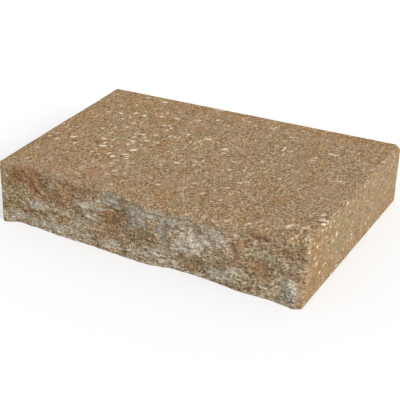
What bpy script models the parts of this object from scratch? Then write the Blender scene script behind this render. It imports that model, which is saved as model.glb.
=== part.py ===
"""Wall end block: one pressed concrete block with a split rock face.

The block is a low slab with four upright sides, longer at its back than at its front. Its bed, top,
back and two ends are moulded: flat, with softly rounded arrises. Its front is broken, so that face is
a rough relief between four wavy rims.

The block lies on its bed, +Z up, with the split face towards -Y. The origin is on the bed, under the
middle of the block's box. Lengths are in metres.
"""

import bmesh
import bpy
import numpy as np
from mathutils import Vector

MM = 0.001

# Sizes of the mould
BACK_LENGTH = 406.4 * MM
END_DRAW = 12.7 * MM
FRONT_LENGTH = BACK_LENGTH - 2 * END_DRAW
DEPTH = 266.7 * MM
HEIGHT = 76.2 * MM
ARRIS_RADIUS = 2.5 * MM
ARRIS_SEGMENTS = 3

# Corner that is knocked off: top, back, right
CHIP_SIZE = 4.5 * MM
CHIP_SLOPE_SHARES = (0.62, 0.45, 0.64)

# Mesh of the split face
CELL = 2.7 * MM
SHOULDER_CUTS = (0.35, 0.7)
SNAP = 0.02 * MM

# Rims of the split face. Each pair is a place along the rim, and how far the face stands proud of the
# nominal split there, as a share of the break's depth. The bed's and top's rims run from the left end,
# -1, to the right end, 1, and the two ends' rims from the bed, 0, to the top, 1.
BREAK_DEPTH = 6.0 * MM
BED_RIM_SHARES = (
    (-1.00, 0.45), (-0.965, 0.25), (-0.92, -0.42), (-0.87, -0.72), (-0.80, -0.60), (-0.67, -0.27),
    (-0.55, -0.08), (-0.30, 0.08), (-0.19, 0.32), (-0.02, 0.60), (0.09, 0.47), (0.14, 0.15),
    (0.18, -0.23), (0.34, -0.30), (0.39, -0.33), (0.49, 0.00), (0.65, 0.53), (0.79, 0.40),
    (0.89, 0.75), (0.945, 1.00), (1.00, 0.20),
)
TOP_RIM_SHARES = (
    (-1.00, -0.35), (-0.85, -0.70), (-0.72, -0.90), (-0.61, -0.30), (-0.43, 0.00), (-0.21, -0.33),
    (-0.10, 0.17), (0.02, 0.50), (0.26, 0.50), (0.37, 0.33), (0.48, 0.17), (0.68, -0.50),
    (0.81, -0.95), (0.92, -1.20), (1.00, -0.75),
)
LEFT_RIM_SHARES = ((0.0, 0.45), (0.15, 0.40), (0.47, 0.10), (0.66, -0.05), (0.92, -0.40), (1.0, -0.35))
RIGHT_RIM_SHARES = (
    (0.0, 0.20), (0.14, 0.00), (0.29, -0.93), (0.45, -1.60), (0.64, -1.40), (0.85, -0.60), (1.0, -0.75),
)
END_REACH = 26.0 * MM
RIM_REACH = 7.0 * MM

# Swellings and hollows of the break: place along and up the face, half its width and half its height,
# each as a share of the face, and how far it swells, as a share of the swell
SWELL = 5.0 * MM
SWELL_SHARES = (
    (-0.945, 0.45, 0.05, 0.30, -0.40),
    (-0.73, 0.46, 0.10, 0.12, 0.60),
    (-0.61, 0.18, 0.10, 0.08, 0.60),
    (-0.55, 0.62, 0.16, 0.14, -0.20),
    (-0.37, 0.64, 0.10, 0.07, 0.60),
    (-0.18, 0.86, 0.09, 0.10, 0.50),
    (-0.145, 0.66, 0.05, 0.12, -0.70),
    (-0.20, 0.38, 0.07, 0.13, -0.70),
    (-0.04, 0.30, 0.07, 0.10, -0.40),
    (-0.02, 0.70, 0.05, 0.12, 0.60),
    (0.11, 0.20, 0.08, 0.06, 0.50),
    (0.14, 0.60, 0.12, 0.20, 0.30),
    (0.31, 0.46, 0.09, 0.18, 0.90),
    (0.31, 0.12, 0.07, 0.08, -0.70),
    (0.42, 0.24, 0.09, 0.06, -0.50),
    (0.50, 0.70, 0.07, 0.12, 0.50),
    (0.56, 0.18, 0.08, 0.08, 0.50),
    (0.66, 0.62, 0.10, 0.12, 0.35),
    (0.71, 0.86, 0.07, 0.08, -0.30),
    (0.74, 0.42, 0.08, 0.08, -0.25),
    (0.85, 0.22, 0.015, 0.15, -0.35),
    (0.93, 0.28, 0.06, 0.14, 0.40),
)

# Loose relief over the whole break: the spacing of its lumps and how far they rise
LUMP_SPACING = 42.0 * MM
LUMP_RISE = 1.6 * MM
STONE_SPACING = 17.0 * MM
STONE_RISE = 1.2 * MM
GRIT_SPACING = 7.5 * MM
GRIT_RISE = 0.7 * MM
LATTICE_COUNT = 64
GOLDEN_TURN = np.pi * (3 - 5**0.5)

# Worn shoulders of the break, under its top rim and at its end rims. Each pair is a place along the
# top rim, and how deep the shoulder is there, as a share of its full depth.
SHOULDER_HEIGHT = 6.0 * MM
SHOULDER_DEPTH = 4.0 * MM
END_SHOULDER = 3.0 * MM
SHOULDER_SHARES = (
    (-1.0, 0.50), (-0.55, 0.55), (-0.20, 0.45), (-0.05, 0.80), (0.05, 1.00), (0.28, 1.00),
    (0.45, 0.75), (0.70, 0.60), (0.92, 0.80), (1.0, 1.00),
)

CONCRETE_COLOUR = "A18A6C"
CONCRETE_ROUGHNESS = 0.95


def linear_colour(code):
    """Turn a six-digit sRGB colour into linear red, green, blue and a full alpha."""
    shares = np.array([int(code[i : i + 2], 16) for i in (0, 2, 4)]) / 255
    linear = np.where(shares <= 0.04045, shares / 12.92, ((shares + 0.055) / 1.055) ** 2.4)
    return (*linear.tolist(), 1.0)


def concrete():
    """Dry-pressed concrete: dull, not metallic, tan all through."""
    material = bpy.data.materials.new("pressed_concrete")
    material.use_nodes = True
    shader = material.node_tree.nodes["Principled BSDF"]
    shader.inputs["Base Color"].default_value = linear_colour(CONCRETE_COLOUR)
    shader.inputs["Roughness"].default_value = CONCRETE_ROUGHNESS
    shader.inputs["Metallic"].default_value = 0.0
    return material


def eased(share):
    """A ramp from 0 to 1 that starts and ends level."""
    return share * share * (3 - 2 * share)


def lattice_noise(x, z, spacing, layer):
    """Random heights from -1 to 1 at the corners of square cells, eased between them.

    Each layer's lattice is turned by the golden angle from the one before, so no two line up.
    """
    heights = np.random.default_rng(layer).uniform(-1, 1, (LATTICE_COUNT, LATTICE_COUNT))
    turn = layer * GOLDEN_TURN
    across = (x * np.cos(turn) + z * np.sin(turn)) / spacing
    upward = (z * np.cos(turn) - x * np.sin(turn)) / spacing
    column, row = np.floor(across).astype(int), np.floor(upward).astype(int)
    ease_x, ease_z = eased(across - column), eased(upward - row)
    column, next_column = column % LATTICE_COUNT, (column + 1) % LATTICE_COUNT
    row, next_row = row % LATTICE_COUNT, (row + 1) % LATTICE_COUNT
    low = heights[row, column] * (1 - ease_x) + heights[row, next_column] * ease_x
    high = heights[next_row, column] * (1 - ease_x) + heights[next_row, next_column] * ease_x
    return low * (1 - ease_z) + high * ease_z


def along_rim(rim_shares, place):
    """Read a rim's table at each place, straight between its points."""
    places, shares = zip(*rim_shares)
    return np.interp(place, places, shares)


def end_bow(rim_shares, up):
    """How far an end's rim leaves the straight line between its own two ends."""
    ends = (rim_shares[0], rim_shares[-1])
    return along_rim(rim_shares, up) - along_rim(ends, up)


def swellings(along, up):
    """Sum of the break's swellings and hollows, each a bell over its own oval."""
    total = np.zeros_like(along)
    for centre_along, centre_up, half_width, half_height, swell in SWELL_SHARES:
        reach = ((along - centre_along) / half_width) ** 2 + ((up - centre_up) / half_height) ** 2
        total += swell * np.exp(-reach / 2)
    return total


def shoulder_fall(x, z):
    """How far the worn shoulders fall back: quarters of ellipses, ending at the top and end rims."""
    rise = np.clip(1 - (HEIGHT - z) / SHOULDER_HEIGHT, 0, 1)
    reach = np.clip(1 - (FRONT_LENGTH / 2 - np.abs(x)) / END_SHOULDER, 0, 1)
    top_share = along_rim(SHOULDER_SHARES, 2 * x / FRONT_LENGTH)
    fall = SHOULDER_DEPTH * top_share * (1 - np.sqrt(1 - rise**2))
    return fall + END_SHOULDER * (1 - np.sqrt(1 - reach**2))


def split_relief(x, z):
    """How far the split face stands proud at each point of the nominal split.

    Between the bed's and the top's rims the surface is ruled. Near each end it follows that end's
    rim. The swellings, lumps and stones fade out at the rims, and the grit runs on to them.
    """
    along, up = 2 * x / FRONT_LENGTH, z / HEIGHT
    rims = along_rim(BED_RIM_SHARES, along) * (1 - up) + along_rim(TOP_RIM_SHARES, along) * up
    rims += end_bow(LEFT_RIM_SHARES, up) * np.exp(-(FRONT_LENGTH / 2 + x) / END_REACH)
    rims += end_bow(RIGHT_RIM_SHARES, up) * np.exp(-(FRONT_LENGTH / 2 - x) / END_REACH)
    rim_distance = np.minimum(FRONT_LENGTH / 2 - np.abs(x), np.minimum(z, HEIGHT - z))
    inside = 1 - np.exp(-np.maximum(rim_distance, 0) / RIM_REACH)
    lumps = LUMP_RISE * lattice_noise(x, z, LUMP_SPACING, 11)
    stones = STONE_RISE * (1 - 3 * np.abs(lattice_noise(x, z, STONE_SPACING, 12)))
    grit = GRIT_RISE * lattice_noise(x, z, GRIT_SPACING, 13)
    body = SWELL * swellings(along, up) + lumps + stones
    return BREAK_DEPTH * rims + inside * body + grit - shoulder_fall(x, z)


def moulded_slab():
    """A straight slab as long as the block's front, with every arris rounded but the split face's rims."""
    block = bmesh.new()
    bmesh.ops.create_cube(block, size=1.0)
    bmesh.ops.scale(block, vec=(FRONT_LENGTH, DEPTH, HEIGHT), verts=block.verts)
    bmesh.ops.translate(block, vec=(0.0, DEPTH / 2, HEIGHT / 2), verts=block.verts)
    moulded = [edge for edge in block.edges if not on_split(edge)]
    bmesh.ops.bevel(
        block, geom=moulded, offset=ARRIS_RADIUS, offset_type="OFFSET", segments=ARRIS_SEGMENTS,
        profile=0.5, affect="EDGES", clamp_overlap=True,
    )
    return block


def on_split(element):
    """Whether an edge or a face lies wholly on the nominal split, the plane y = 0."""
    return all(abs(vert.co.y) < SNAP for vert in element.verts)


def cut_front(block, place, direction):
    """Cut the split face, and nothing else, along one plane."""
    faces = [face for face in block.faces if on_split(face)]
    edges = {edge for face in faces for edge in face.edges}
    verts = {vert for face in faces for vert in face.verts}
    bmesh.ops.bisect_plane(
        block, geom=[*verts, *edges, *faces], dist=SNAP, plane_co=place, plane_no=direction
    )


def grid_front(block):
    """Divide the split face into cells between the arrises, and more finely where its shoulders turn."""
    reach = FRONT_LENGTH / 2 - ARRIS_RADIUS
    rise = HEIGHT - 2 * ARRIS_RADIUS
    columns = np.linspace(-reach, reach, round(2 * reach / CELL) + 1)
    rows = ARRIS_RADIUS + np.linspace(0.0, rise, round(rise / CELL) + 1)
    turn = ARRIS_RADIUS * np.array(SHOULDER_CUTS)
    for x in (*columns, *(reach + turn), *(-reach - turn)):
        cut_front(block, Vector((x, 0.0, 0.0)), Vector((1.0, 0.0, 0.0)))
    for z in (*rows, *(ARRIS_RADIUS + rise + turn)):
        cut_front(block, Vector((0.0, 0.0, z)), Vector((0.0, 0.0, 1.0)))


def break_front(block):
    """Push each point of the split face out or in by the relief."""
    verts = [vert for vert in block.verts if abs(vert.co.y) < SNAP]
    places = np.array([vert.co for vert in verts])
    for vert, proud in zip(verts, split_relief(places[:, 0], places[:, 2])):
        vert.co.y = -proud


def taper_ends(block):
    """Lengthen the slab evenly from the front's length to the back's, so the ends stay flat."""
    for vert in block.verts:
        length = FRONT_LENGTH + (BACK_LENGTH - FRONT_LENGTH) * vert.co.y / DEPTH
        vert.co.x *= length / FRONT_LENGTH


def chip_corner(block):
    """Knock off the top back corner on the right with one sloping cut, and close the cut."""
    slope = Vector(CHIP_SLOPE_SHARES).normalized()
    corner = Vector((BACK_LENGTH / 2, DEPTH, HEIGHT))
    bmesh.ops.bisect_plane(
        block, geom=[*block.verts, *block.edges, *block.faces], dist=SNAP,
        plane_co=corner - slope * CHIP_SIZE, plane_no=slope, clear_outer=True,
    )
    rim = [edge for edge in block.edges if edge.is_boundary]
    bmesh.ops.holes_fill(block, edges=rim, sides=len(rim))


def centre_on_bed(block):
    """Move the block so the origin is on its bed, under the middle of its box."""
    places = np.array([vert.co for vert in block.verts])
    low, high = places.min(axis=0), places.max(axis=0)
    middle = (low + high) / 2
    bmesh.ops.translate(block, vec=(-middle[0], -middle[1], -low[2]), verts=block.verts)


def build_block(collection):
    """The whole block, as one closed solid."""
    block = moulded_slab()
    grid_front(block)
    break_front(block)
    taper_ends(block)
    chip_corner(block)
    centre_on_bed(block)
    bmesh.ops.triangulate(block, faces=block.faces)
    bmesh.ops.recalc_face_normals(block, faces=block.faces)
    mesh = bpy.data.meshes.new("end_block")
    block.to_mesh(mesh)
    block.free()
    mesh.materials.append(concrete())
    piece = bpy.data.objects.new("end_block", mesh)
    collection.objects.link(piece)


def main():
    for piece in list(bpy.data.objects):
        bpy.data.objects.remove(piece)
    collection = bpy.data.collections.new("wall_end_block")
    bpy.context.scene.collection.children.link(collection)
    build_block(collection)


main()
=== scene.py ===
"""Dresses the wall end block: one pressed concrete block with a split rock face.

The file is laid out as a Blender add-on and is run as a script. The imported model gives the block's
box, and one closed surface takes the place of its plain solid: soft moulded faces with the grain of
dry-pressed concrete, and a split face with its broken stones. Lengths are in metres, +Z up, and the
split face looks towards -Y.
"""

from functools import partial
from math import radians

import bpy
import numpy as np
from bpy.props import FloatProperty, FloatVectorProperty, PointerProperty
from bpy.types import Operator, Panel, PropertyGroup
from mathutils import Euler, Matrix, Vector


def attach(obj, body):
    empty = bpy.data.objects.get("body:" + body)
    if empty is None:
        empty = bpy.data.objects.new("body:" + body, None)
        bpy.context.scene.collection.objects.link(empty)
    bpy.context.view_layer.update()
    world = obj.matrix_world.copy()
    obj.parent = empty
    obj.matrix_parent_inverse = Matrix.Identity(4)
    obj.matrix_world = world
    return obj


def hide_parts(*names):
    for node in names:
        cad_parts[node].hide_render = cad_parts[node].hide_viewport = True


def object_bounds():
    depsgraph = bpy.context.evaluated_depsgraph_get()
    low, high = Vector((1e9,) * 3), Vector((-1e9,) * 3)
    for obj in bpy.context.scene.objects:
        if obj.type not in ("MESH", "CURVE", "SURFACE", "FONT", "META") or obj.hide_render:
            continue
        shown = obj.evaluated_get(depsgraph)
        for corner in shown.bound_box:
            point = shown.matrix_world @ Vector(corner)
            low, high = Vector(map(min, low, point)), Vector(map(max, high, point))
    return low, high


bl_info = {
    "name": "Wall end block",
    "version": (1, 0, 0),
    "blender": (4, 5, 0),
    "location": "View3D > Sidebar > Wall Block",
    "description": "Dresses a packed wall end block as pressed concrete with a split rock face",
    "category": "Add Mesh",
}

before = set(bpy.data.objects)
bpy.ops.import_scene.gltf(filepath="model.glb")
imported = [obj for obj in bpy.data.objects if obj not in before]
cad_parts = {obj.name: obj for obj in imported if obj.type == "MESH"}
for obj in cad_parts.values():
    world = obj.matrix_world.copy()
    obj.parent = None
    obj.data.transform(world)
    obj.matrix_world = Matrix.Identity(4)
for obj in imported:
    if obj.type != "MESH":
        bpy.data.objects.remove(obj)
cad_low, cad_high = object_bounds()

NODE = "end_block"
MM = 0.001

# The break's four rims, as in the solid: how far each stands proud of the nominal split, in break
# depths, at places along the face from -1 to 1 or up it from 0 to 1
BED_RIM_SHARES = (
    (-1.0, 0.45), (-0.965, 0.25), (-0.92, -0.42), (-0.87, -0.72), (-0.8, -0.6), (-0.67, -0.27),
    (-0.55, -0.08), (-0.3, 0.08), (-0.19, 0.32), (-0.02, 0.6), (0.09, 0.47), (0.14, 0.15),
    (0.18, -0.23), (0.34, -0.3), (0.39, -0.33), (0.49, 0.0), (0.65, 0.53), (0.79, 0.4),
    (0.89, 0.75), (0.945, 1.0), (1.0, 0.2),
)
TOP_RIM_SHARES = (
    (-1.0, -0.35), (-0.85, -0.7), (-0.72, -0.9), (-0.61, -0.3), (-0.43, 0.0), (-0.21, -0.33),
    (-0.1, 0.17), (0.02, 0.5), (0.26, 0.5), (0.37, 0.33), (0.48, 0.17), (0.68, -0.5),
    (0.81, -0.95), (0.92, -1.2), (1.0, -0.75),
)
LEFT_RIM_SHARES = (
    (0.0, 0.45), (0.15, 0.4), (0.47, 0.1), (0.66, -0.05), (0.92, -0.4), (1.0, -0.35),
)
RIGHT_RIM_SHARES = (
    (0.0, 0.2), (0.14, 0.0), (0.29, -0.93), (0.45, -1.6), (0.64, -1.4), (0.85, -0.6), (1.0, -0.75),
)
END_REACH = 26.0 * MM
RIM_REACH = 7.0 * MM

# Swellings and hollows, as in the solid: place along and up the face, half its width and half its
# height as shares of the face, and how far it stands proud, in swells
SWELL_SHARES = (
    (-0.945, 0.45, 0.05, 0.3, -0.4), (-0.73, 0.46, 0.1, 0.12, 0.6), (-0.61, 0.18, 0.1, 0.08, 0.6),
    (-0.55, 0.62, 0.16, 0.14, -0.2), (-0.37, 0.64, 0.1, 0.07, 0.6), (-0.18, 0.86, 0.09, 0.1, 0.5),
    (-0.145, 0.66, 0.05, 0.12, -0.7), (-0.2, 0.38, 0.07, 0.13, -0.7),
    (-0.04, 0.3, 0.07, 0.1, -0.4), (-0.02, 0.7, 0.05, 0.12, 0.6), (0.11, 0.2, 0.08, 0.06, 0.5),
    (0.14, 0.6, 0.12, 0.2, 0.3), (0.31, 0.46, 0.09, 0.18, 0.9), (0.31, 0.12, 0.07, 0.08, -0.7),
    (0.42, 0.24, 0.09, 0.06, -0.5), (0.5, 0.7, 0.07, 0.12, 0.5), (0.56, 0.18, 0.08, 0.08, 0.5),
    (0.66, 0.62, 0.1, 0.12, 0.35), (0.71, 0.86, 0.07, 0.08, -0.3), (0.74, 0.42, 0.08, 0.08, -0.25),
    (0.85, 0.22, 0.015, 0.15, -0.35), (0.93, 0.28, 0.06, 0.14, 0.4),
)

# Layers of loose relief, as in the solid
LUMP_SPACING = 42.0 * MM
STONE_SPACING = 17.0 * MM
GRIT_SPACING = 7.5 * MM
STONE_STEEPNESS = 3
LATTICE_COUNT = 64
GOLDEN_TURN = np.pi * (3 - 5**0.5)
# Each layer of noise has a number of its own, which seeds it
LUMP_LAYER, STONE_LAYER, GRIT_LAYER = 11, 12, 13
CHIP_LAYER, SMALL_CHIP_LAYER, SAND_LAYER, LEDGE_LAYER = 21, 22, 23, 24
WAVE_LAYER, PIT_LAYER, WEAR_LAYER, KNOCK_LAYER = 31, 41, 51, 61

# Corner that is knocked off, top, back and right, as in the solid: the slope of the cut
KNOCK_SLOPE_SHARES = (0.62, 0.45, 0.64)

# How worn the top rim's shoulder is, and how far the moulded skin's colour reaches down over it
SHOULDER_SHARES = (
    (-1.0, 0.5), (-0.55, 0.55), (-0.2, 0.45), (-0.05, 0.8), (0.05, 1.0), (0.28, 1.0), (0.45, 0.75),
    (0.7, 0.6), (0.92, 0.8), (1.0, 1.0),
)
SKIN_REACH_SHARES = (
    (-1.0, 0.6), (-0.7, 0.3), (-0.4, 0.1), (-0.2, -0.2), (-0.02, 0.5), (0.1, 1.1), (0.3, 1.2),
    (0.55, 1.2), (0.66, 0.7), (0.74, 0.2), (0.82, 1.2), (0.92, 1.7), (1.0, 2.0),
)

# Finer relief that only the dressed surface has: ledges, chips, sand, waves, pits and wear
LEDGE_HEIGHT = 13.0 * MM
LEDGE_SLOPE = -0.10
LEDGE_WARP = 0.8
LEDGE_WARP_SPACING = 34.0 * MM
LEDGE_SHARES = (
    (-0.72, 0.42, 0.26, 0.4, 1.0), (-0.17, 0.45, 0.1, 0.22, 0.8), (0.3, 0.16, 0.14, 0.12, 0.9),
    (0.85, 0.3, 0.12, 0.3, 0.6),
)
CHIP_SPACING = 5.5 * MM
CHIP_TILT = 0.35
SAND_SPACING = 1.8 * MM
WAVE_SPACING = 30.0 * MM
PIT_SPACING = 5.5 * MM
WEAR_SPACING = 11.0 * MM
KNOCK_SPACING = 4.0 * MM
# Level of the noise under which there is no pit, and how evenly the wear runs along an arris
PIT_LEVEL = 0.4
WEAR_EVENNESS = 0.3

# How fast the front's relief fades towards the back, as a power of the way left to it
RELIEF_FADE = 3

# Spacing of the mesh on the split face, across the other faces, and along them
FRONT_CELL = 0.85 * MM
TOP_CELL = 2.1 * MM
END_CELL = 2.8 * MM
BED_CELL = 7.0 * MM
LONG_CELLS = (FRONT_CELL, TOP_CELL, BED_CELL)
HIGH_CELLS = (FRONT_CELL, END_CELL)
ARRIS_STEPS = 4
FIRST_ROW = 1.2 * MM
WELD = 0.001 * MM
RIM_FADE = 1.5 * MM
RIM_SAND_SHARE = 0.3
SKIN_BLUR = 16.0 * MM

# Coloured patches of the split face: place along and up the face, half its width and half its
# height, as shares of the face, and how strong it is
GREY_SHARES = (
    (-0.18, 0.87, 0.06, 0.1, 0.75), (-0.02, 0.7, 0.035, 0.09, 1.0), (0.08, 0.86, 0.07, 0.07, 0.4),
    (-0.31, 0.66, 0.06, 0.07, 0.3), (0.16, 0.66, 0.1, 0.16, 0.45), (0.4, 0.8, 0.1, 0.1, 0.35),
    (-0.96, 0.85, 0.03, 0.1, 0.4), (-0.3, 0.45, 0.05, 0.08, 0.4), (0.3, 0.4, 0.05, 0.12, 0.4),
    (0.93, 0.14, 0.04, 0.1, 0.6), (-0.92, 0.12, 0.07, 0.08, 0.5), (0.2, 0.92, 0.06, 0.05, 0.2),
)
LIME_SHARES = (
    (0.325, 0.52, 0.05, 0.12, 1.0), (0.5, 0.73, 0.035, 0.08, 0.9), (0.92, 0.26, 0.035, 0.07, 0.9),
    (-0.61, 0.15, 0.06, 0.05, 1.0), (-0.46, 0.3, 0.03, 0.05, 0.7), (-0.72, 0.43, 0.05, 0.05, 0.9),
    (-0.34, 0.43, 0.03, 0.08, 0.4), (-0.36, 0.66, 0.06, 0.03, 0.8), (-0.76, 0.11, 0.05, 0.05, 0.9),
    (0.11, 0.24, 0.05, 0.06, 0.6), (0.53, 0.15, 0.05, 0.05, 0.9), (-0.9, 0.12, 0.04, 0.03, 0.5),
    (-0.4, 0.12, 0.06, 0.05, 0.6), (-0.2, 0.14, 0.05, 0.05, 0.6), (0.2, 0.11, 0.04, 0.05, 0.6),
    (0.41, 0.58, 0.03, 0.06, 0.5), (0.47, 0.12, 0.025, 0.08, 0.4), (0.13, 0.87, 0.09, 0.07, 0.4),
    (0.02, 0.14, 0.09, 0.06, 0.4), (-0.63, 0.12, 0.04, 0.04, 0.5), (-0.63, 0.93, 0.03, 0.05, 0.5),
    (0.54, 0.36, 0.03, 0.08, 0.3), (0.17, 0.37, 0.03, 0.06, 0.5), (-0.08, 0.5, 0.025, 0.06, 0.4),
    (0.6, 0.27, 0.04, 0.05, 0.5), (-0.42, 0.78, 0.05, 0.04, 0.4),
)
RUST_SHARES = (
    (-0.76, 0.93, 0.08, 0.08, 1.1), (-0.82, 0.76, 0.08, 0.08, 0.9), (-0.39, 0.83, 0.04, 0.06, 0.9),
    (0.1, 0.4, 0.03, 0.05, 0.9), (0.73, 0.9, 0.04, 0.08, 1.0), (-0.78, 0.28, 0.04, 0.05, 0.7),
    (-0.73, 0.62, 0.06, 0.07, 0.9), (-0.53, 0.64, 0.07, 0.1, 1.0), (0.39, 0.27, 0.04, 0.05, 0.5),
    (0.97, 0.8, 0.03, 0.12, 0.4), (-0.46, 0.9, 0.08, 0.08, 0.5), (0.66, 0.45, 0.1, 0.06, 0.5),
    (-0.2, 0.55, 0.06, 0.1, 0.5), (0.58, 0.66, 0.05, 0.12, 0.5), (0.88, 0.68, 0.05, 0.1, 0.3),
    (0.55, 0.24, 0.05, 0.08, 0.35),
)
BROWN_SHARES = (
    (-0.145, 0.68, 0.05, 0.12, 1.0), (-0.21, 0.43, 0.06, 0.12, 1.2), (-0.1, 0.26, 0.04, 0.05, 0.6),
    (0.31, 0.15, 0.05, 0.1, 1.0), (0.32, 0.27, 0.045, 0.06, 1.1), (-0.1, 0.93, 0.04, 0.05, 0.5),
    (-0.95, 0.7, 0.04, 0.14, 1.0), (-0.93, 0.38, 0.06, 0.16, 1.2), (0.6, 0.08, 0.06, 0.05, 0.8),
    (0.53, 0.3, 0.04, 0.06, 0.5), (0.0, 0.42, 0.03, 0.06, 0.5), (-0.53, 0.92, 0.05, 0.06, 0.6),
    (0.71, 0.4, 0.06, 0.08, 0.9), (0.76, 0.28, 0.05, 0.08, 0.5), (0.64, 0.74, 0.04, 0.08, 0.6),
    (0.98, 0.2, 0.02, 0.12, 0.6), (0.945, 0.46, 0.02, 0.1, 0.5), (-0.8, 0.88, 0.12, 0.12, 0.7),
    (0.6, 0.3, 0.05, 0.05, 0.3), (-0.71, 0.28, 0.04, 0.06, 0.6), (-0.31, 0.28, 0.04, 0.1, 0.7),
    (0.04, 0.56, 0.07, 0.09, 0.8), (-0.31, 0.93, 0.06, 0.05, 0.7), (-0.53, 0.31, 0.03, 0.06, 0.6),
    (0.96, 0.33, 0.015, 0.1, 0.7), (0.88, 0.72, 0.03, 0.08, 0.6), (-0.24, 0.88, 0.03, 0.08, 0.5),
)
MOSS_SHARES = (
    (-0.95, 0.48, 0.04, 0.2, 0.6), (-0.37, 0.1, 0.04, 0.05, 0.7), (0.0, 0.48, 0.03, 0.08, 0.8),
    (0.56, 0.18, 0.06, 0.05, 0.8), (0.84, 0.2, 0.02, 0.05, 0.9), (0.26, 0.18, 0.03, 0.04, 0.6),
    (-0.28, 0.1, 0.04, 0.04, 0.6), (-0.84, 0.62, 0.04, 0.06, 0.5), (0.74, 0.6, 0.04, 0.06, 0.6),
    (-0.12, 0.78, 0.02, 0.04, 0.6), (0.65, 0.62, 0.03, 0.07, 0.4),
)
# The same on the moulded faces, at places along, back from the split face and up
ORANGE_AND_SHADE_SHARES = (
    (-0.98, 0.45, 1.0, 0.06, 0.4, 0.3, 0.8), (-0.7, 0.9, 1.0, 0.12, 0.08, 0.3, 0.8),
    # These two rows, on the right end next to the split face, darken it as painted shade of the
    # end's curving front edge, besides tinting it orange; the other rows are orange colour
    (1.0, 0.04, 0.45, 0.1, 0.05, 0.32, 1.0), (1.0, 0.14, 0.3, 0.1, 0.06, 0.2, 0.7),
    (-0.34, 0.94, 1.0, 0.05, 0.04, 0.3, 1.0), (0.05, 0.94, 1.0, 0.08, 0.03, 0.3, 0.9),
    (0.72, 0.94, 1.0, 0.1, 0.04, 0.3, 0.9), (0.54, 0.79, 1.0, 0.1, 0.06, 0.3, 0.6),
    (-0.55, 0.25, 1.0, 0.12, 0.06, 0.3, 0.6), (0.1, 0.05, 1.0, 0.25, 0.05, 0.3, 0.6),
    (-0.6, 0.6, 1.0, 0.35, 0.3, 0.3, 0.5), (0.2, 0.97, 1.0, 0.8, 0.05, 0.3, 0.8),
)
PINK_SHARES = (
    (0.84, 0.42, 1.0, 0.09, 0.07, 0.3, 1.0), (-0.18, 0.77, 1.0, 0.05, 0.04, 0.3, 0.9),
    (0.08, 0.19, 1.0, 0.06, 0.04, 0.3, 0.8), (0.98, 0.7, 1.0, 0.05, 0.06, 0.3, 0.8),
    (-0.45, 0.12, 1.0, 0.2, 0.06, 0.3, 0.5), (0.35, 0.33, 1.0, 0.12, 0.05, 0.3, 0.4),
)
OLIVE_SHARES = (
    (-0.64, 0.97, 1.0, 0.05, 0.03, 0.3, 1.0), (0.23, 0.98, 1.0, 0.1, 0.03, 0.3, 0.8),
    (-0.3, 0.36, 1.0, 0.06, 0.03, 0.3, 1.0), (-0.53, 0.49, 1.0, 0.06, 0.04, 0.3, 0.8),
    (-0.02, 0.56, 1.0, 0.04, 0.03, 0.3, 1.0), (-0.58, 0.79, 1.0, 0.05, 0.03, 0.3, 0.7),
    (1.0, 0.6, 0.5, 0.1, 0.3, 0.5, 0.35), (1.0, 0.25, 0.55, 0.1, 0.04, 0.18, 1.0),
    (1.0, 0.33, 0.3, 0.1, 0.02, 0.1, 0.8),
)
STONY_SHARES = (
    (-0.55, 0.58, 1.0, 0.28, 0.22, 0.3, 0.6), (-0.5, 0.24, 1.0, 0.25, 0.08, 0.3, 0.3),
    (-0.05, 0.5, 1.0, 0.25, 0.15, 0.3, 0.4), (0.15, 0.92, 1.0, 0.1, 0.04, 0.3, 0.5),
    (1.0, 0.05, 0.95, 0.1, 0.06, 0.1, 1.0), (1.0, 0.12, 0.8, 0.1, 0.2, 0.2, 0.5),
    (1.0, 0.35, 0.12, 0.1, 0.05, 0.1, 0.6), (0.42, 0.72, 1.0, 0.06, 0.05, 0.3, 0.5),
)

# The tables under the names that their paint has on the mesh: for the break, and for the skin
SPLIT_PAINT = {
    "grey": GREY_SHARES, "lime": LIME_SHARES, "rust": RUST_SHARES, "brown": BROWN_SHARES,
    "moss": MOSS_SHARES,
}
SKIN_PAINT = {
    "orange": ORANGE_AND_SHADE_SHARES, "pink": PINK_SHARES, "olive": OLIVE_SHARES, "stony": STONY_SHARES,
}

# Grain of the concrete: grain size in millimetres, and its share of the tone and of the bump. Real
# sand is finer, and is drawn this coarse because it wouldn't show.
SKIN_GRAINS = ((2.2, 0.14, 0.25), (1.2, 0.75, 0.25))
SPLIT_GRAINS = ((2.4, 0.22, 0.30), (1.1, 0.50, 0.40))
# Clouds: size in millimetres, detail, and share of the tone
CLOUDS = ((2.7, 3.0, 0.40), (9.0, 3.0, 0.22))
CLOUD_ROUGHNESS = 0.72
# The press lays flat grains level, so the break shows them long and thin
SPLIT_STRETCH = (0.42, 0.7, 1.15)
# Streaks of the break: size along each axis in millimetres, detail, bend, turn in degrees, share of
# the tone and share of the bump
STREAKS = (
    ((16.0, 6.0, 4.0), 3.0, 1.2, 5.0, 0.55, 1.0), ((8.0, 3.0, 2.0), 2.0, 1.0, -12.0, 0.90, 0.6),
    ((6.0, 3.0, 1.6), 2.0, 1.0, 20.0, 0.80, 0.6),
)
# Added to the skin's bump, so that it meets the break's at the same mean level
SKIN_LEVEL = 1.3
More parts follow.
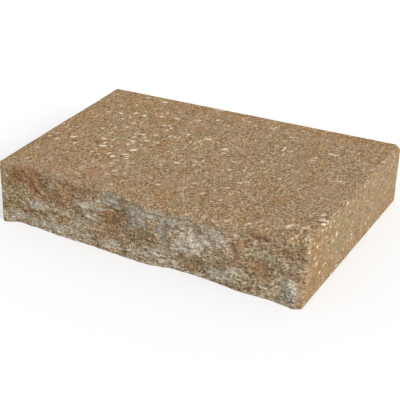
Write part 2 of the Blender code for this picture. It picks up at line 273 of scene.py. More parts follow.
# Stones: size of a cell in millimetres, share of the cells that hold one, its mean radius in
# millimetres, its strength, its turn in degrees, and its colour
SKIN_STONES = (
    (4.5, 0.45, 1.2, 0.50, 40.0, "cream"), (6.0, 0.45, 1.6, 0.75, -10.0, "cream"),
    (7.5, 0.55, 1.4, 1.00, 20.0, "pale"), (9.0, 0.52, 1.8, 1.00, 60.0, "pale"),
    (13.0, 0.36, 2.1, 1.00, 75.0, "pale"), (6.0, 0.50, 1.5, 1.00, 0.0, "pore"),
    (14.0, 0.40, 1.4, 1.00, 30.0, "pit"),
)
SPLIT_STONES = (
    (5.0, 0.25, 1.3, 0.45, 90.0, "lime_light"), (10.0, 0.20, 1.6, 0.60, 90.0, "cream"),
    (5.0, 0.35, 1.2, 0.65, 90.0, "pore"), (9.0, 0.30, 1.2, 0.70, 90.0, "pit"),
)
# How many times as long as wide a stone is
STONE_STRETCH = 2.0
# Stones lie in clusters: size of the noise that gathers them, in millimetres
CLUSTER_SIZE = 24.0
# How much of the break's contrast shows from its foot to its top
ROUGH_RAMP = {"From Max": cad_high.z / MM, "To Min": 1.10, "To Max": 0.75}
# Thin lines: size of their noise along each axis in millimetres, half the band of its levels that
# shows, and how far they shift the tone. Real ones are hairlines, drawn wide enough to show.
SCUFFS = (((9.0, 7.0, 8.0), 0.010, 0.30), ((7.0, 9.0, 8.0), 0.010, 0.30))
# On the break, the lines that lighten the tone are painted highlights along the edges of flakes, and
# those that darken it are painted shade in cracks
HIGHLIGHT_AND_CRACK_SHADE_LINES = (
    ((5.0, 3.0, 2.2), 0.022, 0.60), ((4.0, 3.0, 2.5), 0.022, 0.60), ((5.0, 3.0, 2.4), 0.024, -0.60),
    ((3.5, 3.0, 2.5), 0.022, -0.55),
)
# Patches of the break: painted mask, how much of the tone it takes, and how readily stray spots of
# it turn up elsewhere
PATCHES = (
    ("brown", 0.76, 0.08), ("moss", 0.55, 0.08), ("grey", 0.68, 0.05), ("rust", 0.64, 0.08),
    ("lime", 0.68, 0.05),
)
# Tints of the moulded faces: size of a cloud in millimetres, its share of the surface, its
# strength, and how it lies on the grain
TINTS = {
    "pink": (13.0, 0.44, 0.52, "MIX"),
    "olive": (10.0, 0.42, 0.48, "MIX"),
    # The orange tint darkens as it tints, and where it is painted on the right end next to the split
    # face it is painted shade
    "orange": (18.0, 0.48, 0.75, "MULTIPLY"),
}
# How far paint raises a tint's cloud, and how wide the cloud's edge is, in levels of its noise
TINT_PAINT = 0.22
TINT_EDGE = 0.15
# The noise of height that lies between the grains, its scale in waves to the millimetre
GRAIN_NOISE = {"Scale": 0.45, "Detail": 3.0, "Roughness": 0.7}
# A stone's outline: its noise, how fine that is for its radius, how far it swings, the share of the
# radius that is full, and the strength of the faintest stone
BLOB_NOISE = {"Detail": 3.0, "Roughness": 0.8}
BLOB_FINENESS = 0.9
BLOB_SWING = 3.0
BLOB_CORE = 0.7
FAINTEST_STONE = 0.4
# Stones of the skin: how bright and how many they are, and what stony paint adds
STONE_BRIGHTNESS, STONY_BRIGHTNESS = 0.65, 0.8
STONE_NUMBER, STONY_NUMBER = 0.30, 1.6
# Levels of the clusters' noise, and how many stones there are below and above them
CLUSTER_RAMP = {"From Min": 0.40, "From Max": 0.62, "To Min": 0.3, "To Max": 1.9}
# A thin line's bend, how fine the noise is that keeps parts of it, and that noise's levels
LINE_BEND = 0.6
LINE_FINENESS = 1.4
LINE_RAMP = {"From Min": 0.48, "From Max": 0.58}
# A patch's ragged edge: its noise, how far it swings, the level that is taken off, how far single
# grains swing it, and the levels between which the patch sets in
RAGGED_NOISE = {"Scale": 1 / 5, "Detail": 4.0, "Roughness": 0.7}
RAGGED_SWING = 2.4
RAGGED_LEVEL = 1.4
RAGGED_GRAIN = 0.4
PATCH_RAMP = {"From Min": 0.33, "From Max": 0.57}
# The skin's ragged end: its noise, and the levels between which it ends
SKIN_END_NOISE = {"Scale": 1 / 9, "Detail": 4.0, "Roughness": 0.7}
SKIN_END_RAMP = {"From Min": 0.66, "From Max": 1.34}
# Each noise of a kind is moved this far from the one before, so that no two agree
TINT_SHIFT, PATCH_SHIFT, STONE_SHIFT, LINE_SHIFT = 17.0, 23.0, 31.0, 47.0
BREAK_LINE_START, BREAK_STONE_START = 100, 200
# Dry concrete hardly shines
CONCRETE_GLOSS = {"Roughness": 0.93, "Specular IOR Level": 0.25}
# Colours of the floor: to the light, and to the camera
FLOOR_PALE = "E7E7E7"
WHITE = "FFFFFF"


def opaque(code):
    """Turn a six-digit sRGB colour into linear red, green and blue, and full opacity."""
    shares = np.array([int(code[i : i + 2], 16) for i in (0, 2, 4)]) / 255
    linear = np.where(shares <= 0.04045, shares / 12.92, ((shares + 0.055) / 1.055) ** 2.4)
    return (*linear.tolist(), 1.0)


def eased(share):
    """A ramp from 0 to 1 that starts and ends level."""
    share = np.clip(share, 0, 1)
    return share * share * (3 - 2 * share)


def lattice_noise(x, z, spacing, layer):
    """Random heights from -1 to 1 at the corners of square cells, eased between them.

    Each layer's lattice is turned by the golden angle from the one before, so no two line up.
    """
    heights = np.random.default_rng(layer).uniform(-1, 1, (LATTICE_COUNT, LATTICE_COUNT))
    turn = layer * GOLDEN_TURN
    across = (x * np.cos(turn) + z * np.sin(turn)) / spacing
    upward = (z * np.cos(turn) - x * np.sin(turn)) / spacing
    column, row = np.floor(across).astype(int), np.floor(upward).astype(int)
    ease_x, ease_z = eased(across - column), eased(upward - row)
    column, next_column = column % LATTICE_COUNT, (column + 1) % LATTICE_COUNT
    row, next_row = row % LATTICE_COUNT, (row + 1) % LATTICE_COUNT
    low = heights[row, column] * (1 - ease_x) + heights[row, next_column] * ease_x
    high = heights[next_row, column] * (1 - ease_x) + heights[next_row, next_column] * ease_x
    return low * (1 - ease_z) + high * ease_z


def solid_noise(points, spacing, layer):
    """The same in space, for the moulded faces: the mean of three flat lattices, one to an axis."""
    x, y, z = points.T
    pairs = ((x, y), (y, z), (z, x))
    layers = [lattice_noise(a, b, spacing, layer + i) for i, (a, b) in enumerate(pairs)]
    return sum(layers) / len(layers)


def broken_chips(x, z, spacing, layer):
    """Facets of broken stone: each point takes the level and the tilt of its nearest seed.

    Seeds are scattered one to a cell. A facet's height is its own level plus its own slope times
    the distance from its seed.
    """
    random = np.random.default_rng(layer)
    size = (LATTICE_COUNT, LATTICE_COUNT)
    seed_x, seed_z = random.uniform(0, 1, size), random.uniform(0, 1, size)
    level, tilt_x, tilt_z = (random.uniform(-1, 1, size) for _ in range(3))
    across, upward = x / spacing, z / spacing
    column, row = np.floor(across).astype(int), np.floor(upward).astype(int)
    nearest, height = np.full_like(x, np.inf), np.zeros_like(x)
    for step_row in (-1, 0, 1):
        for step_column in (-1, 0, 1):
            cell = (row + step_row) % LATTICE_COUNT, (column + step_column) % LATTICE_COUNT
            off_x = across - (column + step_column) - seed_x[cell]
            off_z = upward - (row + step_row) - seed_z[cell]
            distance = off_x**2 + off_z**2
            plane = level[cell] + (tilt_x[cell] * off_x + tilt_z[cell] * off_z) / CHIP_TILT
            height = np.where(distance < nearest, plane, height)
            nearest = np.minimum(distance, nearest)
    return height


def along_rim(rim_shares, place):
    """Read a rim's table at each place, straight between its points."""
    places, shares = zip(*rim_shares)
    return np.interp(place, places, shares)


def end_bow(rim_shares, up):
    """How far an end's rim leaves the straight line between its own two ends."""
    ends = (rim_shares[0], rim_shares[-1])
    return along_rim(rim_shares, up) - along_rim(ends, up)


def ovals(table, *places):
    """Sum of bells, each over its own oval, with its own strength.

    A row holds the oval's middle, its half sizes and its strength, and has one middle and one half
    size for each place.
    """
    total = np.zeros_like(places[0])
    for *middles_and_sizes, strength in table:
        middles, sizes = middles_and_sizes[: len(places)], middles_and_sizes[len(places) :]
        reach = sum(((p - m) / half) ** 2 for p, m, half in zip(places, middles, sizes))
        total += strength * np.exp(-reach / 2)
    return total


def inside_rims(form, x, z, reach):
    """Nought at the split face's rims, growing to 1 within a few reaches of them."""
    distance = np.minimum(form.front_length / 2 - np.abs(x), np.minimum(z, form.height - z))
    return 1 - np.exp(-np.maximum(distance, 0) / reach)


def shoulder_fall(form, x, z):
    """How far the worn shoulders fall back under the top rim and at the end rims.

    Each is a quarter of an ellipse.
    """
    rise = np.clip(1 - (form.height - z) / form.shoulder_height, 0, 1)
    reach = np.clip(1 - (form.front_length / 2 - np.abs(x)) / form.end_shoulder, 0, 1)
    top_share = along_rim(SHOULDER_SHARES, 2 * x / form.front_length)
    fall = form.shoulder_depth * top_share * (1 - np.sqrt(1 - rise**2))
    return fall + form.end_shoulder * (1 - np.sqrt(1 - reach**2))


def split_relief(form, x, z):
    """How far the split face stands proud of the nominal split, as in the solid.

    Between the bed's and the top's rims the surface is ruled, and near each end it follows that
    end's rim. Swellings, lumps and stones fade out at the rims, and the grit runs on to them.
    """
    along, up = 2 * x / form.front_length, z / form.height
    rims = along_rim(BED_RIM_SHARES, along) * (1 - up) + along_rim(TOP_RIM_SHARES, along) * up
    rims += end_bow(LEFT_RIM_SHARES, up) * np.exp(-(form.front_length / 2 + x) / END_REACH)
    rims += end_bow(RIGHT_RIM_SHARES, up) * np.exp(-(form.front_length / 2 - x) / END_REACH)
    lumps = form.lump_rise * lattice_noise(x, z, LUMP_SPACING, LUMP_LAYER)
    stones = lattice_noise(x, z, STONE_SPACING, STONE_LAYER)
    stones = form.stone_rise * (1 - STONE_STEEPNESS * np.abs(stones))
    grit = form.grit_rise * lattice_noise(x, z, GRIT_SPACING, GRIT_LAYER)
    body = form.swell * ovals(SWELL_SHARES, along, up) + lumps + stones
    inside = inside_rims(form, x, z, RIM_REACH)
    return form.break_depth * rims + inside * body + grit - shoulder_fall(form, x, z)


def fine_relief(form, x, z):
    """Ledges, chips and sand on top of the break.

    A ledge leans back evenly over its height and then juts out at once, and its place up the face
    is warped by a slow noise. Chips are facets of broken stone, and sand is a layer of grit.
    """
    warp = LEDGE_WARP * lattice_noise(x, z, LEDGE_WARP_SPACING, LEDGE_LAYER)
    place = (z - LEDGE_SLOPE * x) / LEDGE_HEIGHT + warp
    ledge_share = ovals(LEDGE_SHARES, 2 * x / form.front_length, z / form.height)
    ledges = form.ledge_rise * ledge_share * (0.5 - place % 1)
    chips = form.chip_rise * broken_chips(x, z, CHIP_SPACING, CHIP_LAYER)
    small_chips = form.chip_rise / 2 * broken_chips(x, z, CHIP_SPACING / 2, SMALL_CHIP_LAYER)
    sand = form.sand_rise * lattice_noise(x, z, SAND_SPACING, SAND_LAYER)
    inside = inside_rims(form, x, z, RIM_FADE)
    return (ledges + chips + small_chips + sand) * inside + sand * RIM_SAND_SHARE


def skin_fall(form, points, edge):
    """How far a moulded face lies below its mould: long waves, small pits, and worn arrises."""
    waves = form.wave_fall * (1 + solid_noise(points, WAVE_SPACING, WAVE_LAYER)) / 2
    pits = np.clip(solid_noise(points, PIT_SPACING, PIT_LAYER) * 2 - PIT_LEVEL, 0, 1)
    wear = np.clip(solid_noise(points, WEAR_SPACING, WEAR_LAYER) + WEAR_EVENNESS, 0, 1)
    return waves + form.pit_fall * pits + form.wear_fall * edge * wear


def settle(form, lattice):
    """Turn points of the sharp, straight box into the block's, and give the rounded points too.

    Rounding: a point's step from the core box, which is one arris radius smaller, keeps its
    direction and takes the length of its largest part. The skin then falls in along that direction.
    The relief pushes the front out or in and fades towards the back, the ends are drawn out evenly,
    and points beyond the knocked-off corner's slope move straight onto it.
    """
    radius, half = form.arris_radius, form.front_length / 2
    core_low = np.array([-half + radius, 0, radius])
    core_high = np.array([half - radius, form.depth - radius, form.height - radius])
    core = np.clip(lattice, core_low, core_high)
    step = lattice - core
    reach = np.linalg.norm(step, axis=1)
    largest = np.abs(step).max(axis=1)
    outward = step / np.maximum(reach, WELD)[:, None]
    rounded = core + outward * largest[:, None]
    edge = reach / np.maximum(largest, WELD) - 1
    behind = 1 - np.exp(-lattice[:, 1] / RIM_FADE)
    x, y, z = (rounded - outward * (skin_fall(form, rounded, edge) * behind)[:, None]).T
    front_x, front_z = rounded[:, 0], rounded[:, 2]
    proud = split_relief(form, front_x, front_z) + fine_relief(form, front_x, front_z)
    y = y - proud * (1 - lattice[:, 1] / form.depth) ** RELIEF_FADE
    x = x * (form.front_length + 2 * form.end_draw * y / form.depth) / form.front_length
    points = np.stack([x, y, z], axis=1)
    slope = np.array(KNOCK_SLOPE_SHARES) / np.linalg.norm(KNOCK_SLOPE_SHARES)
    corner = np.array([half + form.end_draw, form.depth, form.height]) - slope * form.knock_size
    rough = form.knock_rough * solid_noise(rounded, KNOCK_SPACING, KNOCK_LAYER)
    beyond = (points - corner) @ slope + rough
    points -= np.maximum(beyond, 0)[:, None] * slope
    points += np.array([0, cad_high.y - form.depth, cad_low.z])
    return np.clip(points, cad_low, cad_high), rounded


def mesh_places(length, cell, radius):
    """Places from 0 to a length: even steps between the arrises, and a few small ones in each."""
    arris = np.linspace(0, radius, ARRIS_STEPS + 1)[:-1]
    middle = np.linspace(radius, length - radius, round(length / cell) + 1)
    return np.concatenate([arris, middle, length - arris[::-1]])


def grid(first, corner, across, upward):
    """A grid of points from a corner, rows across and columns upward, and its four-sided faces.

    The two directions are axis and sign with their places. first is the number of its first point.
    """
    axis_u, sign_u, places_u = across
    axis_v, sign_v, places_v = upward
    numbers = first + np.arange(len(places_u) * len(places_v)).reshape(len(places_v), len(places_u))
    points = np.tile(np.array(corner, float), (numbers.size, 1)).reshape(*numbers.shape, 3)
    points[..., axis_u] += sign_u * places_u[None, :]
    points[..., axis_v] += sign_v * places_v[:, None]
    low, high = numbers[:-1], numbers[1:]
    faces = np.stack([low[:, :-1], low[:, 1:], high[:, 1:], high[:, :-1]], axis=-1)
    return points.reshape(-1, 3), faces.reshape(-1, 4), numbers


def stitch(side_a, side_b, share_a, share_b):
    """Triangles between two rows of points that run side by side, each at its own spacing.

    Each segment of one row is joined to the point of the other row that its middle has reached.
    """
    middle_a, middle_b = (share_a[1:] + share_a[:-1]) / 2, (share_b[1:] + share_b[:-1]) / 2
    reached_b = side_b[np.searchsorted(middle_b, middle_a)]
    reached_a = side_a[np.searchsorted(middle_a, middle_b, side="right")]
    first = np.stack([side_a[:-1], side_a[1:], reached_b], axis=1)
    second = np.stack([side_b[1:], side_b[:-1], reached_a], axis=1)
    return np.concatenate([first, second])


def block_surface(form):
    """The block's whole surface: six grids on a sharp box, stitched where their spacing differs."""
    length, depth, height, radius = form.front_length, form.depth, form.height, form.arris_radius
    fine_x, top_x, bed_x = (mesh_places(length, cell, radius) for cell in LONG_CELLS)
    fine_z, end_z = (mesh_places(height, cell, radius) for cell in HIGH_CELLS)
    deep_y = mesh_places(depth, END_CELL, radius)
    deep_y = np.concatenate([[FIRST_ROW], deep_y[deep_y > 2 * FIRST_ROW]]) - FIRST_ROW
    left, right, back_up = -length / 2, length / 2, end_z[1:] - end_z[1]
    plans = {
        "front": ((left, 0, 0), (0, 1, fine_x), (2, 1, fine_z)),
        "top": ((left, FIRST_ROW, height), (0, 1, top_x), (1, 1, deep_y)),
        "bed": ((left, depth, 0), (0, 1, bed_x), (1, -1, deep_y[-1] - deep_y[::-1])),
        "right": ((right, FIRST_ROW, 0), (1, 1, deep_y), (2, 1, end_z)),
        "left": ((left, depth, 0), (1, -1, deep_y[-1] - deep_y[::-1]), (2, 1, end_z)),
        "back": ((right, depth, end_z[1]), (0, -1, top_x), (2, 1, back_up)),
    }
    points, quads, rows, first = [], [], {}, 0
    for name, plan in plans.items():
        more, faces, rows[name] = grid(first, *plan)
        points.append(more)
        quads.append(faces)
        first += len(more)
    front, top, bed = rows["front"], rows["top"], rows["bed"]
    share = {name: places / places[-1] for name, places in (("x", fine_x), ("z", fine_z))}
    top_share, bed_share, end_share = top_x / length, bed_x / length, end_z / height
    strips = [
        stitch(front[-1], top[0], share["x"], top_share),
        stitch(front[0][::-1], bed[-1][::-1], share["x"], bed_share),
        stitch(front[:, -1][::-1], rows["right"][:, 0][::-1], share["z"], end_share),
        stitch(front[:, 0], rows["left"][:, -1], share["z"], end_share),
        stitch(bed[0][::-1], rows["back"][0], bed_share, top_share),
    ]
    return np.concatenate(points), np.concatenate(quads), np.concatenate(strips)


def weld(points, quads, triangles):
    """Make one point of those that lie together, and renumber the faces."""
    keys = np.round(points / WELD).astype(np.int64)
    _, kept, numbers = np.unique(keys, axis=0, return_index=True, return_inverse=True)
    numbers = numbers.ravel()
    return points[kept], numbers[quads], numbers[triangles]


def paint(mesh, name, values):
    """Keep one number for each point of the mesh, for a material to read."""
    layer = mesh.attributes.new(name, "FLOAT", "POINT")
    layer.data.foreach_set("value", np.clip(values, 0, 1).astype(np.float32))


def add(tree, kind, inputs=None, output=0, stops=(), **settings):
    """Add one node and give one of its outputs. Inputs are values, or outputs that feed them."""
    node = tree.nodes.new("ShaderNode" + kind)
    for name, value in settings.items():
        setattr(node, name, value)
    for name, value in (inputs or {}).items():
        if isinstance(value, bpy.types.NodeSocket):
            tree.links.new(value, node.inputs[name])
        else:
            node.inputs[name].default_value = value
    for number, (position, colour) in enumerate(stops):
        ramp = node.color_ramp.elements
        stop = ramp[number] if number < len(ramp) else ramp.new(position)
        stop.position, stop.color = position, colour
    return node.outputs[output] if node.outputs else None


def grained(make, place, contrast, grains):
    """The tone and the height of sand grains, and a number of each grain's own.

    The tone is 0.5 in the mean. Each grain adds its own random step to it, and clouds of noise lie
    over the grains. Each grain has its own height too, over a finer noise.
    """
    tone = 0.5 - contrast * sum(layer[1] for layer in grains) / 2
    tone -= contrast * sum(layer[2] for layer in CLOUDS) / 2
    height = make("TexNoise", {"Vector": place, **GRAIN_NOISE})
    for size, share, rise in grains:
        cells = make("TexVoronoi", {"Vector": place, "Scale": 1 / size}, output="Color")
        own = make("SeparateColor", {0: cells})
        tone = make("Math", {0: own, 1: share * contrast, 2: tone}, operation="MULTIPLY_ADD")
        height = {0: own.node.outputs[2], 1: rise, 2: height}
        height = make("Math", height, operation="MULTIPLY_ADD")
    for size, detail, share in CLOUDS:
        cloud = {"Scale": 1 / size, "Detail": detail, "Roughness": CLOUD_ROUGHNESS}
        cloud = make("TexNoise", {"Vector": place, **cloud})
        tone = make("Math", {0: cloud, 1: share * contrast, 2: tone}, operation="MULTIPLY_ADD")
    return tone, height, own.node.outputs[1]


def scattered(make, place, cell, share, radius, turn, seed):
    """Scattered stones: in a share of the cells, a rough blob round the cell's own point.

    A blob reaches the radius, times the cell's own number plus a noise, which is 1 in the mean. The
    cells are longer across their turn, and so are the blobs. Each has its own strength, from the
    faintest stone's to 1, and grows faint at its rim.
    """
    spot = make("Mapping", {0: place, "Location": (seed,) * 3, "Rotation": (0, 0, radians(turn))})
    spot = make("Mapping", {0: spot, "Scale": (1 / cell, 1 / (cell * STONE_STRETCH), 1 / cell)})
    distance = make("TexVoronoi", {"Vector": spot, "Scale": 1.0})
    own = make("SeparateColor", {0: distance.node.outputs["Color"]})
    picked = make("Math", {0: own, 1: share}, operation="LESS_THAN")
    rough = make("TexNoise", {"Vector": place, "Scale": BLOB_FINENESS / radius, **BLOB_NOISE})
    rough = {0: rough, 1: BLOB_SWING, 2: (1 - BLOB_SWING) / 2}
    rough = make("Math", rough, operation="MULTIPLY_ADD")
    reach = make("Math", {0: rough, 1: own.node.outputs[1]}, operation="ADD")
    reach = make("Math", {0: reach, 1: radius / cell}, operation="MULTIPLY")
    part = make("Math", {0: distance, 1: reach}, operation="DIVIDE")
    near = make("MapRange", {"Value": part, "From Min": 1.0, "From Max": BLOB_CORE})
    positive = make("Math", {0: reach, 1: 0.0}, operation="GREATER_THAN")
    near = make("Math", {0: near, 1: positive}, operation="MULTIPLY")
    level = {0: own.node.outputs[2], 1: 1 - FAINTEST_STONE, 2: FAINTEST_STONE}
    level = make("Math", level, operation="MULTIPLY_ADD")
    near = make("Math", {0: near, 1: level}, operation="MULTIPLY")
    return make("Math", {0: picked, 1: near}, operation="MULTIPLY")


def thin_lines(make, place, sizes, band, seed):
    """Thin curved lines: a narrow band of a bent noise's levels, kept where another is high."""
    scale = tuple(1 / size for size in sizes)
    spot = make("Mapping", {0: place, "Location": (seed,) * 3, "Scale": scale})
    bent = make("TexNoise", {"Vector": spot, "Scale": 1.0, "Detail": 1.0, "Distortion": LINE_BEND})
    line = make("Math", {0: bent, 1: 0.5, 2: band}, operation="COMPARE")
    kept = make("TexNoise", {"Vector": spot, "Scale": LINE_FINENESS, "Detail": 1.0})
    kept = make("MapRange", {"Value": kept, **LINE_RAMP})
    return make("Math", {0: line, 1: kept}, operation="MULTIPLY")


def pressed_concrete(look):
    """Dry-pressed concrete, coloured all through, with a moulded skin and a split face.

    The skin is dull tan cement over sand grains, with cream stones and small dark pores showing.
    The break is rougher and greyer, because it cuts through the stones, with rust and pale lime in
    places.
    """
    material = bpy.data.materials.new("pressed_concrete")
    material.use_nodes = True
    tree = material.node_tree
    tree.nodes.clear()
    make = partial(add, tree)
    place = make("TexCoord", output="Object")
    place = make("VectorMath", {0: place, 1: (1 / MM,) * 3}, operation="MULTIPLY")

    # The skin: grains, tinted clouds and stones
    value, skin_height, _ = grained(make, place, look.skin_contrast, SKIN_GRAINS)
    for seed, (sizes, band, step) in enumerate(SCUFFS):
        line = thin_lines(make, place, sizes, band, LINE_SHIFT * seed)
        value = make("Math", {0: line, 1: step, 2: value}, operation="MULTIPLY_ADD")
    calm = make("Attribute", output="Fac", attribute_name="calm")
    calm = make("Math", {0: calm, 1: look.end_calm}, operation="MULTIPLY")
    value = make("Mix", {0: calm, 2: value, 3: 0.5})
    stops = ((0.0, look.skin_dark), (0.5, look.skin), (1.0, look.skin_light))
    skin = make("ValToRGB", {0: value}, stops=stops)
    for seed, (name, (size, share, strength, blend)) in enumerate(TINTS.items()):
        spot = {"Location": (TINT_SHIFT * seed,) * 3, "Scale": (1 / size,) * 3}
        spot = make("Mapping", {0: place, **spot})
        cloud = make("TexNoise", {"Vector": spot, "Scale": 1.0, "Detail": 3.0})
        painted = make("Attribute", output="Fac", attribute_name=name)
        cloud = make("Math", {0: painted, 1: TINT_PAINT, 2: cloud}, operation="MULTIPLY_ADD")
        levels = {"From Min": 1 - share, "From Max": 1 - share + TINT_EDGE}
        mask = make("MapRange", {"Value": cloud, **levels, "To Max": strength})
        tint = {0: mask, 6: skin, 7: getattr(look, name)}
        skin = make("Mix", tint, output=2, data_type="RGBA", blend_type=blend)
    painted = make("Attribute", output="Fac", attribute_name="stony")
    bright = {0: painted, 1: STONY_BRIGHTNESS, 2: STONE_BRIGHTNESS}
    bright = make("Math", bright, operation="MULTIPLY_ADD", use_clamp=True)
    stony = make("Math", {0: painted, 1: STONY_NUMBER, 2: STONE_NUMBER}, operation="MULTIPLY_ADD")
    cluster = make("TexNoise", {"Vector": place, "Scale": 1 / CLUSTER_SIZE, "Detail": 2.0})
    cluster = make("MapRange", {"Value": cluster, **CLUSTER_RAMP})
    stony = make("Math", {0: stony, 1: cluster}, operation="MULTIPLY")
    for seed, (cell, share, radius, strength, turn, name) in enumerate(SKIN_STONES):
        share = make("Math", {0: stony, 1: share}, operation="MULTIPLY")
        mask = scattered(make, place, cell, share, radius, turn, STONE_SHIFT * seed)
        for part in (strength, bright):
            mask = make("Math", {0: mask, 1: part}, operation="MULTIPLY")
        skin = make("Mix", {0: mask, 6: skin, 7: getattr(look, name)}, output=2, data_type="RGBA")

    # The break: longer grains in its own tones, streaks along it, and the painted patches
    long_place = make("Mapping", {0: place, "Scale": SPLIT_STRETCH})
    value, split_height, long_own = grained(make, long_place, look.split_contrast, SPLIT_GRAINS)
    for sizes, detail, bend, turn, share, rise in STREAKS:
        spot = {"Scale": tuple(1 / size for size in sizes), "Rotation": (0, radians(turn), 0)}
        spot = make("Mapping", {0: place, **spot})
        streak = {"Vector": spot, "Scale": 1.0, "Detail": detail, "Distortion": bend}
        streak = make("TexNoise", streak)
        value = make("Math", {0: value, 1: share * look.streaks / 2}, operation="SUBTRACT")
        value = {0: streak, 1: share * look.streaks, 2: value}
        value = make("Math", value, operation="MULTIPLY_ADD")
        split_height = {0: streak, 1: rise, 2: split_height}
        split_height = make("Math", split_height, operation="MULTIPLY_ADD")
    # Thin lines of painted highlight, and of painted shade in cracks
    for seed, (sizes, band, step) in enumerate(HIGHLIGHT_AND_CRACK_SHADE_LINES):
        line = thin_lines(make, place, sizes, band, BREAK_LINE_START + LINE_SHIFT * seed)
        value = make("Math", {0: line, 1: step, 2: value}, operation="MULTIPLY_ADD")
    upward = make("SeparateXYZ", {0: place}, output=2)
    rough = make("MapRange", {"Value": upward, **ROUGH_RAMP})
    value = make("Math", {0: value, 1: 0.5}, operation="SUBTRACT")
    value = make("Math", {0: value, 1: rough, 2: 0.5}, operation="MULTIPLY_ADD")
    stops = ((0.0, look.split_dark), (0.5, look.split), (1.0, look.split_light))
    split = make("ValToRGB", {0: value}, stops=stops)
    for seed, (name, share, stray) in enumerate(PATCHES):
        spot = make("Mapping", {0: long_place, "Location": (PATCH_SHIFT * seed,) * 3})
        ragged = make("TexNoise", {"Vector": spot, **RAGGED_NOISE})
        ragged = {0: ragged, 1: RAGGED_SWING, 2: stray - RAGGED_LEVEL}
        ragged = make("Math", ragged, operation="MULTIPLY_ADD")
        ragged = make("Math", {0: long_own, 1: RAGGED_GRAIN, 2: ragged}, operation="MULTIPLY_ADD")
        painted = make("Attribute", output="Fac", attribute_name=name)
        swing = make("Math", {0: painted, 1: ragged}, operation="ADD")
        swing = make("MapRange", {"Value": swing, **PATCH_RAMP, "To Max": share})
        stops = ((0.0, getattr(look, name + "_dark")), (1.0, getattr(look, name + "_light")))
        patch = make("ValToRGB", {0: value}, stops=stops)
        split = make("Mix", {0: swing, 6: split, 7: patch}, output=2, data_type="RGBA")
    for seed, (cell, share, radius, strength, turn, name) in enumerate(SPLIT_STONES):
        start = BREAK_STONE_START + STONE_SHIFT * seed
        mask = scattered(make, long_place, cell, share, radius, turn, start)
        mask = make("Math", {0: mask, 1: strength}, operation="MULTIPLY")
        split = make("Mix", {0: mask, 6: split, 7: getattr(look, name)}, output=2, data_type="RGBA")

    # Where the skin ends: the painted line, made ragged
    line = make("TexNoise", {"Vector": place, **SKIN_END_NOISE})
    painted = make("Attribute", output="Fac", attribute_name="broken")
    line = make("Math", {0: line, 1: painted}, operation="ADD")
    line = make("MapRange", {"Value": line, **SKIN_END_RAMP})
    tone = make("Mix", {0: line, 6: skin, 7: split}, output=2, data_type="RGBA")
    skin_height = {0: skin_height, 1: look.skin_relief, 2: SKIN_LEVEL}
    skin_height = make("Math", skin_height, operation="MULTIPLY_ADD")
    height = make("Mix", {0: line, 2: skin_height, 3: split_height})
    normal = make("Bump", {"Height": height, "Strength": look.bump, "Distance": look.bump_rise})
    shader = make("BsdfPrincipled", {"Base Color": tone, "Normal": normal, **CONCRETE_GLOSS})
    make("OutputMaterial", {"Surface": shader})
    return material


def measure(name, about, size):
    """One length that a user may change, given in millimetres."""
    return amount(name, about, size * MM, precision=4, unit="LENGTH")


def amount(name, about, default, **kind):
    """One plain number that a user may change."""
    return FloatProperty(name=name, description=about, default=default, **kind)


def shade(name, about, code):
    """One colour that a user may change, given as sRGB hex."""
    default = opaque(code)
    about = {"name": name, "description": about}
    return FloatVectorProperty(**about, default=default, size=4, subtype="COLOR")


class WallBlockForm(PropertyGroup):
    """Sizes of the block's mould, its break and its wear."""

    front_length: measure("Split face", "Length of the split face between the ends", 381.0)
    end_draw: measure("End draw", "How far each end runs outwards from front to back", 12.7)
    depth: measure("Depth", "From the nominal split to the back", 266.7)
    height: measure("Height", "From bed to top, as packed", (cad_high.z - cad_low.z) / MM)
    arris_radius: measure("Arris", "Radius of the moulded edges", 2.5)
    break_depth: measure("Break", "How far the rims of the break wander", 6.0)
    swell: measure("Swell", "How far the largest swellings stand proud", 5.0)
    lump_rise: measure("Lumps", "Height of the lumps of the break", 1.6)
    stone_rise: measure("Stones", "Height of the stones of the break", 1.2)
    grit_rise: measure("Grit", "Height of the grit of the break", 0.7)
    shoulder_height: measure("Shoulder height", "Height of the worn shoulder of the top rim", 6.0)
    shoulder_depth: measure("Shoulder depth", "How far the worn shoulder falls back", 4.0)
    end_shoulder: measure("End shoulder", "Size of the worn shoulders at the end rims", 3.0)
    ledge_rise: measure("Ledges", "How far a ledge of the break juts out", 1.8)
    chip_rise: measure("Chips", "Height of the chips of broken stone", 0.4)
    sand_rise: measure("Sand", "Height of the sand of the break", 0.5)
    wave_fall: measure("Waves", "Depth of the long waves in the moulded faces", 0.25)
    pit_fall: measure("Pits", "Depth of the pits in the moulded faces", 0.35)
    wear_fall: measure("Wear", "Depth of the wear at the arrises", 4.0)
    knock_size: measure("Knock", "How far the knocked-off corner is cut back", 4.5)
    knock_rough: measure("Knock roughness", "Roughness of the knocked-off corner", 0.6)


